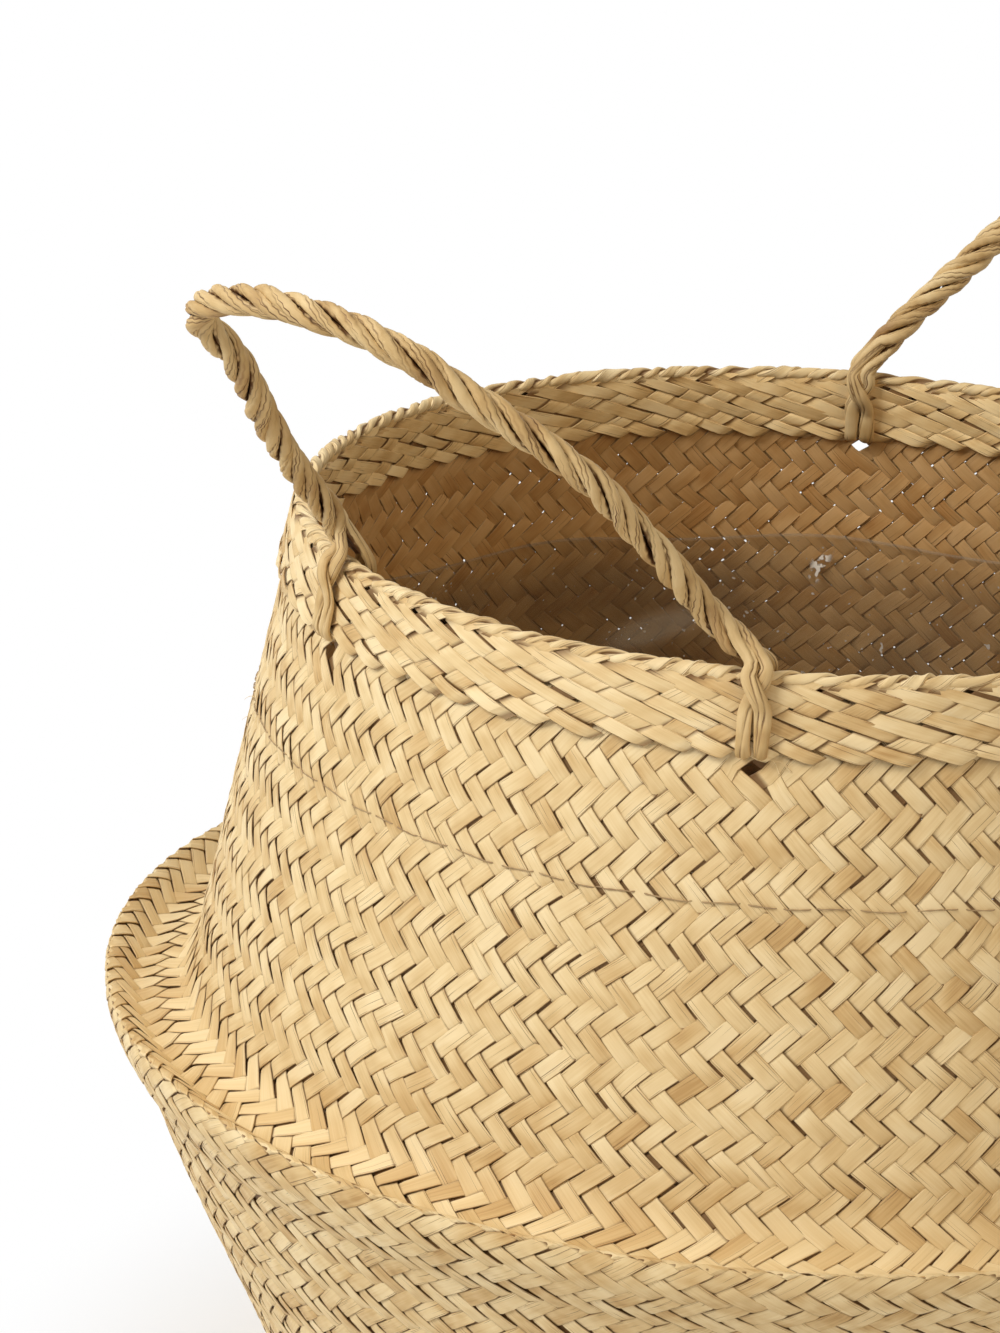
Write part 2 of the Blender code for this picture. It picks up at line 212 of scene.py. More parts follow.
# A rope's feet. Rows are shares of the spread, the way out and the crossing's lift, and the height
FOOT_SPREAD = 2.75 * MM
FOOT_OUT = 5.2 * MM
CROSS_LIFT = 2.9 * MM
FOOT_WAY = (
    (-0.75, 0.80, 0.0, 2.2 * MM), (-0.85, 1.05, 0.5, -2 * MM), (0.0, 1.0, 1.0, -6.5 * MM),
    (0.85, 1.0, 0.5, -11 * MM), (1.0, 1.0, 0.0, -15 * MM), (1.0, 0.98, 0.0, -19 * MM),
    (0.97, 0.90, 0.0, -24 * MM), (0.85, 0.30, 0.0, -26.6 * MM), (0.8, -0.12, 0.0, -26.9 * MM),
)
FOOT_FROM = 8
FOOT_NEAR = 27 * MM
FOOT_FAR = 36 * MM
FOOT_WIDE = 2.6 * MM
FOOT_THIN = 1.75 * MM
FOOT_SHADE = 0.8
TIP_LENGTH = 4 * MM
TIP_SHARE = 0.35

# The film. Its line is radius and height
STITCH_HEIGHT = HEIGHT - 70 * MM
HEM_HEIGHT = STITCH_HEIGHT + 2 * MM
FILM_INSET = WALL + 1.0 * MM
FILM_LOW = WALL + 1.2 * MM
FILM_LINE = (
    (0.0006, FILM_LOW), (0.07, FILM_LOW), (0.125, FILM_LOW + 0.1 * MM), (0.152, 0.020), (0.167, 0.05),
    (0.186, 0.09), (0.205, 0.135), (0.207, 0.160), (0.2025, 0.178), (THROAT_RADIUS - FILM_INSET, 0.196),
)
FILM_NECK_HEIGHTS = (0.22, 0.245, 0.265, HEM_HEIGHT)
FILM_SIDES = 420
FILM_ROWS = 120
FILM_THICKNESS = 0.25 * MM
FILM_MIDDLE = 0.4 * MM
FILM_RISE = 0.2 * MM
FILM_FLAT = 0.02
CREASE_DEPTH = 1.6 * MM
SMALL_CREASE_DEPTH = 0.9 * MM
HEM_WAVE = 1.3 * MM
HEM_HOLD = 0.85
HEM_FADE = 40 * MM

# The thread's stitches
STITCHES = 88
STITCH_STEPS = 20
STITCH_WAVES = ((0.6 * MM, 5, 1), (0.35 * MM, 37, 0))
STITCH_LENGTH = 0.80
STITCH_SQUARENESS = 7
STITCH_LIFT = 0.60 * MM
STITCH_DIVE = 0.5 * MM
THREAD_RADIUS = 0.22 * MM
THREAD_SIDES = 6

# Stray ends of fibre: angle, and in millimetres down, out, along, up and thickness
HAIRS = (
    (134, 13, 5.0, 2.5, 0.5, 0.16), (136, 12, 4.5, -1.5, 1.6, 0.14), (139, 15, 4.0, 1.5, -1.8, 0.15),
    (141, 20, 3.2, -1, -2.2, 0.14), (132, 70, 3.5, 1, -0.8, 0.13), (133, 76, 3.0, -1, -1.6, 0.12),
    (211, 30, 2.2, -5, 3.0, 0.22), (210, 31, 2.0, -3, 4.5, 0.20), (246, 24, 2.5, 3, -2, 0.15),
    (288, 14, 3, 2, 2, 0.15), (20, 17, 3.5, -2, 1, 0.15), (78, 26, 2.5, 2.5, -2, 0.14),
)
HAIR_POINTS = 14
HAIR_START = 1.2 * MM
HAIR_CURL = 0.22
HAIR_TAPER = 0.7

# Colours, the shader's values and noise. Fibre noises are scale across and along, detail and own shift
LOOKS = ("tone", "depth", "edge", "under")
# Painted shade: the dark brown that the strands' dips, their edges and the rope's valleys are darkened
# towards
PAINTED_SHADE = (0.20, 0.115, 0.055)
# Painted shade: the multiplier that darkens and browns the strands' undersides, which face into the shaded
# basket
UNDERSIDE_SHADE = (0.80, 0.63, 0.48)
LEAF_LINE = (0.17, 0.08, 0.03)
ROPE_LINE = (0.13, 0.055, 0.02)
SEDGE_STOPS = (
    (0.10, (0.84, 0.675, 0.395)), (0.38, (0.77, 0.59, 0.315)), (0.62, (0.69, 0.50, 0.245)),
    (0.82, (0.61, 0.41, 0.18)), (0.98, (0.49, 0.30, 0.115)),
)
# Painted light: a lighter, warmer copy of the sedge's colours for the band's inner face
INSIDE_PAINTED_LIGHT_STOPS = (
    (0.10, (0.97, 0.76, 0.42)), (0.40, (0.90, 0.67, 0.335)), (0.66, (0.80, 0.56, 0.255)),
    (0.95, (0.64, 0.41, 0.165)),
)
ROPE_STOPS = (
    (0.10, (0.72, 0.545, 0.285)), (0.40, (0.63, 0.45, 0.215)), (0.66, (0.52, 0.345, 0.145)),
    (0.92, (0.35, 0.20, 0.08)),
)
THREAD_STOPS = ((0.1, (0.44, 0.31, 0.16)), (0.9, (0.31, 0.20, 0.10)))
FIBRE_NOISES = {
    "patches": (70, 62, 2, 3.1), "streaks": (1300, 42, 4, 7.7), "fine": (4200, 110, 2, 1.9),
    "lines": (2500, 34, 2, 5.3), "torn": (500, 75, 1, 9.3), "uneven": (40, 95, 1, 6.1),
}
TONE_SHARE = 0.34
PATCH_SHARE = 0.58
STREAK_SHARE = 0.62
SPLIT_PLACE = 0.80
LEAF_RELIEF = 0.16 * MM

# The film's looks. Noises are scale, detail and the range that shows. The painted glint and the painted
# sheen are angle, distance down, sizes out, round and up, and lean
FILM_HAZE = (17, 2, 0.42, 0.68)
FILM_RAGS = (240, 2, 0.46, 0.52)
FILM_GLINT_SPOTS = (420, 1, 0.735, 0.77)
# Painted shade: the film's own dark brown, so the wall seen through it looks as dark as the shaded inside
FILM_SHADE_TINT = (0.20, 0.15, 0.10)
FILM_HIGHLIGHT = (0.62, 0.56, 0.46)
FILM_GLINT_WHITE = (0.95, 0.91, 0.83)
FILM_GLINT = (radians(31), 79 * MM, (0.02, 0.0045, 0.012), 0.35)
FILM_PAINTED_SHEEN = (radians(50), 107 * MM, (0.03, 0.030, 0.010), -0.3)
PAINTED_SHEEN_SHARE = 0.38
GLINT_SPOT_SHARE = 0.7
HAZE_SHARE = 0.12
CLEAR_SHARE = 0.13
HEM_SHARE = 0.2
FILM_RELIEF = 1.2 * MM

# The camera, the floor and the light. Lamps are turn to the camera's right and height in degrees,
# distance, size, power and colour
CAMERA_PLACE = Vector((-1.2356, -0.7684, HEIGHT + 0.4456))
CAMERA_TURN = radians(-54.1)
CAMERA_DROP = radians(19.245)
CAMERA_ROLL = radians(2.292)
LENS = 165.6
SENSOR = 36
FLOOR_SIZE = 8.0
FLOOR_COLOUR = (0.86, 0.86, 0.86)
SHADOW_NEAR = 0.17
SHADOW_FAR = 0.30
WORLD_LIGHT = 0.27
WHITE = (1, 1, 1)
LAMP_AIM = Vector((0, 0, 0.22))
LAMPS = (
    ("key", -60, 40, 2.2, 0.8, 32.5, (1.0, 0.985, 0.97)), ("fill", 35, 34, 2.6, 1.4, 16, (1.0, 0.79, 0.52)),
    ("top", -150, 60, 2.4, 1.2, 9, WHITE), ("side", -112, 26, 2.4, 1.0, 4.5, WHITE),
)


# Meshes from grids of points

def signed_volume(rings):
    """Six times the volume that one tube's quads enclose, to tell which way its faces point."""
    a, b = rings[:-1], rings[1:]
    c, d = np.roll(b, -1, axis=1), np.roll(a, -1, axis=1)
    return np.sum(a * np.cross(d - b, c))


def tubes(name, rings, across, along, looks, made_of, body=None, closed=False, sharp=30):
    """Many tubes in one mesh. rings is tube x place x section point. across and along are places in metres
    for the fibres, and looks holds the shader's values."""
    count, length, around = shape = rings.shape[:3]
    index = np.arange(count * length * around).reshape(shape)
    near = index if closed else index[:, :-1]
    far = np.roll(index, -1, axis=1) if closed else index[:, 1:]
    quads = np.stack([near, np.roll(near, -1, 2), np.roll(far, -1, 2), far], -1).reshape(-1, 4)
    caps = np.zeros((0, around), int)
    if not closed:
        caps = np.concatenate([index[:, 0, ::-1], index[:, -1]]).reshape(-1, around)
    flipped = signed_volume(rings[0] - rings[0].mean((0, 1))) < 0
    if flipped:
        quads = quads[:, ::-1]
        caps = caps[:, ::-1]
    mesh = bpy.data.meshes.new(name)
    mesh.from_pydata(rings.reshape(-1, 3).tolist(), [], quads.tolist() + caps.tolist())
    loops = np.concatenate([quads.ravel(), caps.ravel()])
    flat_across = np.broadcast_to(across, shape).ravel()
    flat_along = np.broadcast_to(np.asarray(along)[..., None], shape).ravel()
    fibre = np.stack([flat_across[loops], flat_along[loops]], -1)
    for key, uv in (("OFBake", bake_layout(near.shape, len(caps), flipped)), ("fibre", fibre)):
        mesh.uv_layers.new(name=key).uv.foreach_set("vector", uv.astype(np.float32).ravel())
    for key in LOOKS:
        values = np.broadcast_to(looks.get(key, 0.0), shape).astype(np.float32).ravel()
        mesh.attributes.new(key, "FLOAT", "POINT").data.foreach_set("value", values)
    mesh.materials.append(made_of)
    mesh.shade_smooth()
    mesh.set_sharp_from_angle(angle=radians(sharp))
    made = add_object(name, mesh)
    if body:
        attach(made, body)
    return made


def bake_layout(shape, cap_total, flipped):
    """Places for each tube in its own column of the unit square, unrolled, with its end caps beside it."""
    count, steps, around = shape
    tube, place, side = np.unravel_index(np.arange(count * steps * around), shape)
    ahead = np.array([0, 1, 1, 0])
    up = np.array([0, 0, 1, 1])
    if flipped:
        ahead, up = ahead[::-1], up[::-1]
    u = (tube[:, None] + 0.9 * (side[:, None] + ahead) / around) / count
    v = 0.98 * (place[:, None] + up) / steps
    cap = np.arange(cap_total)
    middle_u = (cap % count + 0.95) / count
    middle_v = np.where(cap < count, 0.01, 0.97)
    cap_u = middle_u[:, None] + 0.03 / count * np.cos(all_round(around))
    cap_v = middle_v[:, None] + 0.004 * np.sin(all_round(around))
    return np.concatenate([np.stack(pair, -1).reshape(-1, 2) for pair in ((u, v), (cap_u, cap_v))])


def add_object(name, data):
    made = bpy.data.objects.new(name, data)
    bpy.context.scene.collection.objects.link(made)
    return made


def all_round(count):
    return np.linspace(0, 2 * pi, count, endpoint=False)


def polar(radius, angle, height):
    """World places from distances off the axis, angles and heights."""
    return np.stack(np.broadcast_arrays(radius * np.cos(angle), radius * np.sin(angle), height), -1)


def smooth_step(low, high, value):
    share = np.clip((value - low) / (high - low), 0, 1)
    return share * share * (3 - 2 * share)


def drift(seed, rows, places, kind):
    """Smooth random values along each row, fixed to the places, so that neighbours match."""
    size, spacing = kind
    at = np.broadcast_to(places, (rows, np.shape(places)[-1])) / spacing
    values = np.random.RandomState(seed).uniform(-1, 1, (int(at.max()) + 3, rows)).T
    low = np.floor(at).astype(int)
    share = smooth_step(0, 1, at - low)
    start = np.take_along_axis(values, low, 1)
    return size * (start + (np.take_along_axis(values, low + 1, 1) - start) * share)


def add_waves(start, angle, waves):
    for size, count, shift in waves:
        start = start + size * np.sin(count * angle + shift)
    return start


# The wall's surface

def bezier(a, way_a, b, way_b):
    reach = CURVE_SHARE * norm(b - a)
    c = a + way_a * reach
    d = b - way_b * reach
    t = np.linspace(0, 1, CURVE_STEPS + 1)[:, None]
    return (1 - t) ** 3 * a + 3 * t * (1 - t) ** 2 * c + 3 * t * t * (1 - t) * d + t ** 3 * b


def way(degrees):
    return np.array([cos(radians(degrees)), sin(radians(degrees))])


NECK_SLOPE = (THROAT_RADIUS - MOUTH_RADIUS) / (HEIGHT - THROAT_TOP)
NECK_LENGTH = (1 + NECK_SLOPE ** 2) ** 0.5
NECK_WAY = np.array([-NECK_SLOPE, 1]) / NECK_LENGTH


def neck_radius(height):
    return MOUTH_RADIUS + NECK_SLOPE * (HEIGHT - height)


def neck_places(angle, down, lift):
    """World places at angles, distances down the neck from the rim and distances out from its middle."""
    height = HEIGHT - down / NECK_LENGTH
    radius = neck_radius(height) - WALL / 2 + lift / NECK_LENGTH
    return polar(radius, angle, height + lift * NECK_SLOPE / NECK_LENGTH)


class Shell:
    """The wall's middle surface, with the plait's own coordinates: the crossing number up the wall."""

    def __init__(self):
        knots = [
            (FLOOR_RADIUS, 0.0, way(0)),
            (FLOOR_RADIUS + HEEL_RADIUS, HEEL_RADIUS, way(HEEL_HEADING)),
            (WAIST_RADIUS, WAIST_HEIGHT, way(WAIST_HEADING)),
            (BELLY_RADIUS, BELLY_HEIGHT, way(90)),
            (THROAT_RADIUS + GROOVE_RADIUS, THROAT_HEIGHT, way(CREST_HEADING)),
            (THROAT_RADIUS, THROAT_TOP, NECK_WAY),
            (MOUTH_RADIUS, HEIGHT, NECK_WAY),
        ]
        points = [np.array([knots[0][:2]])]
        for (*a, way_a), (*b, way_b) in zip(knots, knots[1:]):
            points.append(bezier(np.array(a), way_a, np.array(b), way_b)[1:])
        points = np.concatenate(points)
        steps = norm(np.diff(points, axis=0), axis=1)
        ways = np.gradient(points, axis=0)
        ways /= norm(ways, axis=1)[:, None]
        self.out_r, self.out_z = ways[:, 1], -ways[:, 0]
        self.r = points[:, 0] - self.out_r * WALL / 2
        self.z = points[:, 1] - self.out_z * WALL / 2
        self.pitch = 2 * pi / STRANDS
        width = np.interp(HEIGHT - self.z, (0, WIDENING), (RIM_WIDTH, STRAND_WIDTH))
        self.slant = np.arcsin(np.minimum(width / (self.pitch * self.r), sin(STEEPEST)))
        rate = 1 / (self.r * np.tan(self.slant))
        turn = np.concatenate([[0], np.cumsum(steps * (rate[1:] + rate[:-1]) / 2)])
        self.cross = 2 * turn / self.pitch
        self.run = np.concatenate([[0], np.cumsum(steps)])

    def neck_cross(self, height):
        neck = CURVE_STEPS * THROAT_KNOT
        return float(np.interp(height, self.z[neck:], self.cross[neck:]))

    def places(self, cross):
        """Radius, height, and the outward way at crossing numbers."""
        return [np.interp(cross, self.cross, a) for a in (self.r, self.z, self.out_r, self.out_z)]

    def lift(self, angle, cross, height):
        """World places at an angle and crossing number, raised from the middle surface."""
        r, z, out_r, out_z = self.places(cross)
        return polar(r + out_r * height, angle, z + out_z * height)


SHELL = Shell()


def warp(angle, cross):
    """Small shifts of the whole plait, in crossings: real hands don't space the strands evenly."""
    return [
        sum(size * np.sin(count * angle + climb * cross + start) for size, count, climb, start in waves)
        for waves in (WARP_ACROSS, WARP_UP)
    ]


def twill(q):
    """1 where a strand lies over the others, -1 where it lies under them: over two, under two."""
    wave = np.cos(2 * pi * (q - 0.5) / TWILL_PERIOD)
    return np.tanh(TWILL_SQUARENESS * wave) / np.tanh(TWILL_SQUARENESS)


def rows_between(low, high):
    """Crossing numbers of the plait's rows of points, close together where strands dive."""
    periods = range(int(low // TWILL_PERIOD) - 1, int(high // TWILL_PERIOD) + 2)
    every = np.concatenate([TWILL_ROWS + TWILL_PERIOD * k for k in periods])
    inside = every[(every > low + ROW_GAP) & (every < high - ROW_GAP)]
    return np.concatenate([[low], inside, [high]])


def round_holes(angle, cross):
    """Shifts whole strands sideways round the four holes, each to the side that it passes on."""
    r, z, _, _ = SHELL.places(cross)
    shift = np.zeros_like(angle)
    rows = np.arange(len(angle))
    for at in (*FEET["left"], *FEET["right"]):
        x = ((angle - at + pi) % (2 * pi) - pi) * r
        away = np.hypot(x, (z - HOLE_HEIGHT) * NECK_LENGTH)
        sign = np.sign(x[rows, away.argmin(axis=1)])[:, None]
        fade = np.clip(HOLE_FADE - away / HOLE_REACH, 0, 1)
        push = HOLE_SPREAD * np.exp(-(2 * away / HOLE_REACH) ** 2) * fade
        shift += sign * push / r
    return shift


def strand_looks(tones, over, under_share):
    """The shader's values for flat strands that lie over or under others: how low each point lies and which
    side faces down, for painted shade.
    """
    return {
        "tone": tones.reshape(-1, 1, 1), "depth": over * 0.5 + 0.5, "edge": np.abs(SECTION_ACROSS),
        "under": under_share * SECTION_UNDER,
    }


def plait(name, family, low, high, body, holes):
    """All the strands of one family between two crossing numbers. Their rows run along the other family."""
    rows = rows_between(low, high)
    count = STRANDS
    salt = 10 + (family > 0)
    number = np.arange(count)[:, None]
    slide = drift(salt + 1, count, rows, SIDE_DRIFT)
    width = WIDTH_SHARE * (1 + drift(salt + 3, count, rows, WIDTH_DRIFT))
    width = width * (1 + WIDTH_SPREAD * np.random.RandomState(salt + 9).uniform(-1, 1, (count, 1)))
    tilt = STRAND_TILT + drift(salt + 5, count, rows, TILT_DRIFT)
    bulge = drift(salt + 7, count, rows, BULGE_DRIFT)
    x = SECTION_ACROSS[None, None]
    lateral = x * width[..., None] / 2 + slide[..., None]
    cross = rows[None, :, None] - family * lateral
    middle = np.broadcast_to(rows, (count, len(rows)))
    angle0 = SHELL.pitch * (number + family * middle / 2)
    across, up = warp(angle0, middle)
    angle = SHELL.pitch * (number[..., None] + family * cross / 2 + lateral + across[..., None] / 2)
    if holes:
        angle = angle + round_holes(angle0 + SHELL.pitch * across / 2, middle + up)[..., None]
    over = family * twill(rows)[None, :, None]
    height = STRAND_WAVE * over + SECTION_UP * STRAND_THICKNESS / 2
    height = height + tilt[..., None] * x + bulge[..., None]
    points = SHELL.lift(angle, cross + up[..., None], height)
    run = np.interp(rows, SHELL.cross, SHELL.run) / np.sin(np.interp(rows, SHELL.cross, SHELL.slant))
    looks = strand_looks(np.random.RandomState(900 + (family > 0)).uniform(0, 1, count), over, 1)
    run = np.broadcast_to(run, middle.shape)
    return tubes(name, points, STRAND_WIDTH / 2 * x * width[..., None], run, looks, SEDGE, body)


# Materials

class Graph:
    """The nodes of a material or world. What goes into a node is a socket to link, or a number, vector or
    colour to set."""

    def __init__(self, owner):
        owner.use_nodes = True
        self.nodes = owner.node_tree.nodes
        self.links = owner.node_tree.links

    def put(self, node, values):
        for key, value in values.items():
            socket = node.inputs[key]
            if isinstance(value, bpy.types.NodeSocket):
                self.links.new(value, socket)
            elif socket.type == "RGBA":
                socket.default_value = (*value, 1)
            else:
                socket.default_value = value

    def add(self, kind, values, **settings):
        made = self.nodes.new("ShaderNode" + kind)
        for key, value in settings.items():
            setattr(made, key, value)
        self.put(made, values)
        return made

    def math(self, operation, a, b=0.0, **settings):
        return self.add("Math", {0: a, 1: b}, operation=operation, **settings).outputs[0]

    def plus(self, a, b):
        return self.math("ADD", a, b)

    def less(self, a, b):
        return self.math("SUBTRACT", a, b)

    def times(self, a, b):
        return self.math("MULTIPLY", a, b)

    def most(self, a, b):
        return self.math("MAXIMUM", a, b)

    def soft(self, value, start, end, low, high):
        values = {"Value": value, "From Min": start, "From Max": end, "To Min": low, "To Max": high}
        return self.add("MapRange", values, interpolation_type="SMOOTHSTEP").outputs[0]

    def mix(self, share, a, b, blend="MIX"):
        return self.add("Mix", {0: share, 6: a, 7: b}, data_type="RGBA", blend_type=blend).outputs[2]

    def attribute(self, name):
        return self.add("Attribute", {}, attribute_name=name).outputs["Fac"]

    def noise(self, place, scale, detail, roughness=0.5):
        values = {"Vector": place, "Scale": scale, "Detail": detail, "Roughness": roughness}
        return self.add("TexNoise", values, noise_dimensions="3D").outputs["Fac"]

    def fibre_noise(self, fibre, across, along, detail, salt):
        """Noise stretched along the strand, different on each strand."""
        stretched = self.add("VectorMath", {0: fibre, 1: (across, along, 1)}, operation="MULTIPLY")
        shift = (salt, salt * 1.7, 0)
        shifted = self.add("VectorMath", {0: stretched.outputs[0], 1: shift}, operation="ADD")
        return self.noise(shifted.outputs[0], 1, detail, 0.6)

    def ramp(self, value, stops):
        made = self.add("ValToRGB", {0: value})
        elements = made.color_ramp.elements
        while len(elements) > 1:
            elements.remove(elements[-1])
        elements[0].position = stops[0][0]
        elements[0].color = (*stops[0][1], 1)
        for place, colour in stops[1:]:
            elements.new(place).color = (*colour, 1)
        return made.outputs[0]

    def bump(self, height, strength, distance):
        return self.add("Bump", {"Height": height, "Strength": strength, "Distance": distance}).outputs[0]

    def length(self, vector):
        return self.add("VectorMath", {0: vector}, operation="LENGTH").outputs["Value"]


def sedge_material(name, stops, lines, dip_shade=0.10, brown=LEAF_LINE, edge_shade_start=0.88, edge_shade_dark=0.28):
    """Dried leaf: each strand its own tone, fine streaks along it, thin brown lines and split edges,
    painted shade where it dips and along its edges, and a browner painted shade on the side that faces into
    the basket."""
    made = bpy.data.materials.new(name)
    graph = Graph(made)
    tone, depth, edge, under = [graph.attribute(key) for key in LOOKS]
    uv = graph.add("SeparateXYZ", {0: graph.add("UVMap", {}, uv_map="fibre").outputs[0]}).outputs
    fibre = graph.add("CombineXYZ", {0: uv[0], 1: uv[1], 2: graph.times(tone, 97.0)}).outputs[0]
    noise = {kind: graph.fibre_noise(fibre, *facts) for kind, facts in FIBRE_NOISES.items()}
    spread = graph.soft(noise["patches"], 0.28, 0.72, 0, 1)
    mixed = graph.plus(graph.times(tone, TONE_SHARE), graph.times(spread, PATCH_SHARE))
    streak = graph.less(noise["streaks"], 0.48)
    colour = graph.ramp(graph.plus(mixed, graph.times(streak, STREAK_SHARE)), stops)
    line = graph.soft(noise["lines"], 0.64, 0.72, 0, lines)
    apart = graph.math("ABSOLUTE", graph.less(edge, SPLIT_PLACE))
    torn = graph.soft(noise["torn"], 0.55, 0.60, 0, lines)
    torn = graph.times(torn, graph.soft(apart, 0.012, 0.035, 1, 0))
    colour = graph.mix(graph.most(line, torn), colour, brown)
    # Painted shade where the strand dips under the others
    shade = graph.soft(depth, 0.12, 0.62, dip_shade, 1)
    uneven = graph.soft(noise["uneven"], 0.36, 0.62, 0.25, 1)
    # Painted shade along the strand's edges, broken up by noise
    rim = graph.soft(edge, edge_shade_start, 0.98, 0, 1 - edge_shade_dark)
    shade = graph.times(shade, graph.less(1.0, graph.times(rim, uneven)))
    shade_colour = graph.mix(1, colour, PAINTED_SHADE, "MULTIPLY")
    colour = graph.mix(graph.less(1.0, graph.most(shade, under)), colour, shade_colour)
    # Painted shade on the undersides, which face into the basket
    colour = graph.mix(under, colour, graph.mix(1, colour, UNDERSIDE_SHADE, "MULTIPLY"))
    relief = graph.plus(noise["streaks"], graph.times(noise["fine"], 0.5))
    graph.put(graph.nodes["Principled BSDF"], {
        "Base Color": colour, "Normal": graph.bump(relief, 0.6, LEAF_RELIEF),
        "Roughness": graph.soft(noise["fine"], 0.3, 0.7, 0.5, 0.72), "Specular IOR Level": 0.3,
    })
    return made


SEDGE = sedge_material("plaited_sedge", SEDGE_STOPS, 0.8)
# The band's inner strips get a lighter copy of the sedge: painted light
SEDGE_INSIDE_PAINTED_LIGHT = sedge_material("rim_inside_sedge_painted_light", INSIDE_PAINTED_LIGHT_STOPS, 0.8)
# The rope is painted fully dark in its valleys and along its folds: painted shade
ROPE = sedge_material("rope_sedge", ROPE_STOPS, 1.0, dip_shade=0.0, brown=ROPE_LINE, edge_shade_start=0.60, edge_shade_dark=0.12)
THREAD = sedge_material("sewing_thread", THREAD_STOPS, 0.3, dip_shade=0.6)


def film_oval(graph, place, angle, down, sizes, lean):
    """1 at a place on the film and 0 outside an oval round it. sizes go outwards, round and up."""
    height = HEIGHT - down
    radius = neck_radius(height) - FILM_INSET
    oval = graph.add("Mapping", {
        "Vector": place, "Location": (radius * cos(angle), radius * sin(angle), height),
        "Rotation": (lean, 0, angle), "Scale": sizes,
    }, vector_type="TEXTURE")
    return graph.soft(graph.length(oval.outputs[0]), 0.35, 1, 1, 0)


def film_material():
    """Clear film in a dark tint of painted shade, with hazy patches, a painted white glint on one crumple
    with small glints about it, and a painted pale sheen.
    """
    made = bpy.data.materials.new("liner_film")
    graph = Graph(made)
    place = graph.add("TexCoord", {}).outputs["Object"]
    edge = graph.attribute("edge")
    haze, ragged, spots = [
        graph.soft(graph.noise(place, scale, detail), low, high, 0, 1)
        for scale, detail, low, high in (FILM_HAZE, FILM_RAGS, FILM_GLINT_SPOTS)
    ]
    # Painted highlight: a ragged white glint on one crumple, and small white glints scattered over the film
    knot = graph.times(film_oval(graph, place, *FILM_GLINT), ragged)
    knot = graph.most(knot, graph.times(spots, GLINT_SPOT_SHARE))
    # Painted sheen: a pale oval that stands in for a reflection on the film
    painted_sheen = graph.times(film_oval(graph, place, *FILM_PAINTED_SHEEN), PAINTED_SHEEN_SHARE)
    alpha = graph.plus(graph.times(haze, HAZE_SHARE), CLEAR_SHARE)
    alpha = graph.times(alpha, graph.soft(edge, 0.45, 0.97, 1, 0.45))
    # The hem line is more opaque, as the doubled film is, and paler: a painted highlight along its fold
    hem = graph.soft(edge, 0.955, 0.985, 0, HEM_SHARE)
    alpha = graph.most(alpha, graph.most(painted_sheen, hem))
    # The sheen and the hem line are paled towards a light grey: painted highlights
    pale = graph.most(graph.times(painted_sheen, 2.6), graph.times(hem, 3.5))
    # The film's colour is a dark painted shade, paled in the sheen and at the hem and whitened in the glints
    graph.put(graph.nodes["Principled BSDF"], {
        "Base Color": graph.mix(knot, graph.mix(pale, FILM_SHADE_TINT, FILM_HIGHLIGHT), FILM_GLINT_WHITE),
        "Alpha": graph.most(alpha, knot), "Roughness": 0.2, "Specular IOR Level": 0.5,
        "Normal": graph.bump(graph.noise(place, 60, 3), 0.5, FILM_RELIEF),
    })
    return made


FILM = film_material()


# The plaited body

def at_dive(cross):
    """The nearest crossing number at which both families dive, so that a cut there stays hidden."""
    return 2 * round((cross - TWILL_DIVE) / 2) + TWILL_DIVE


def make_walls():
    waist, throat = [at_dive(float(SHELL.cross[CURVE_STEPS * knot])) for knot in (WAIST_KNOT, THROAT_KNOT)]
    heel = at_dive(waist * 0.5)
    crest = at_dive((waist + throat) * 0.5)
    collar = at_dive(SHELL.neck_cross(SEAM))
    top = SHELL.neck_cross(HEIGHT - TOP_GAP)
    zones = (
        ("collar_plait", collar, top, "collar", "neck_collar"),
        ("neck_plait", throat, collar, None, "neck_fold"),
        ("belly_top_plait", crest, throat, "basket_body", "belly_fold"),
        ("belly_side_plait", waist, crest, "basket_body", "belly_fold"),
        ("bowl_plait", heel, waist, "basket_body", "lower_wall"),
        ("heel_plait", 0.0, heel, "basket_body", "lower_wall"),
    )
    for name, low, high, body, node in zones:
        for family, suffix in ((1, "_right"), (-1, "_left")):
            made = plait(name + suffix, family, low, high, body, node == "neck_collar")
            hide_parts(node)
            if body is None:
                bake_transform(made)


def make_base():
    """The flat floor: a square twill cut round."""
    pitch = STRAND_WIDTH
    radius = FLOOR_RADIUS + FLOOR_EDGE
    half_count = int(radius / pitch)
    offsets = np.arange(-half_count, half_count + 1) * pitch
    reach = np.sqrt(np.maximum(radius ** 2 - offsets ** 2, 0))
    run = reach[:, None] * np.linspace(-1, 1, 10 * half_count)
    number = np.arange(len(offsets))[:, None]
    x = SECTION_ACROSS[None, None]
    for family, suffix in ((0, "_along"), (1, "_across")):
        # The shift puts each strand of one family over where those of the other are under
        phase = run / pitch - number + (0 if family else 2 * half_count + 3)
        over = twill(phase)[..., None]
        lateral = offsets[:, None, None] + x * pitch / 2 * WIDTH_SHARE
        height = WALL / 2 + STRAND_WAVE * over + SECTION_UP * STRAND_THICKNESS / 2
        along, lateral = np.broadcast_to(run[..., None], height.shape), np.broadcast_to(lateral, height.shape)
        points = np.stack([along, lateral, height] if family else [lateral, along, height], -1)
        looks = strand_looks(np.random.RandomState(40 + family).uniform(0, 1, len(offsets)), over, 0.6)
        made = tubes("base" + suffix, points, x * pitch / 2, run, looks, SEDGE, "basket_body")
        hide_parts("base_mat")


# The rim

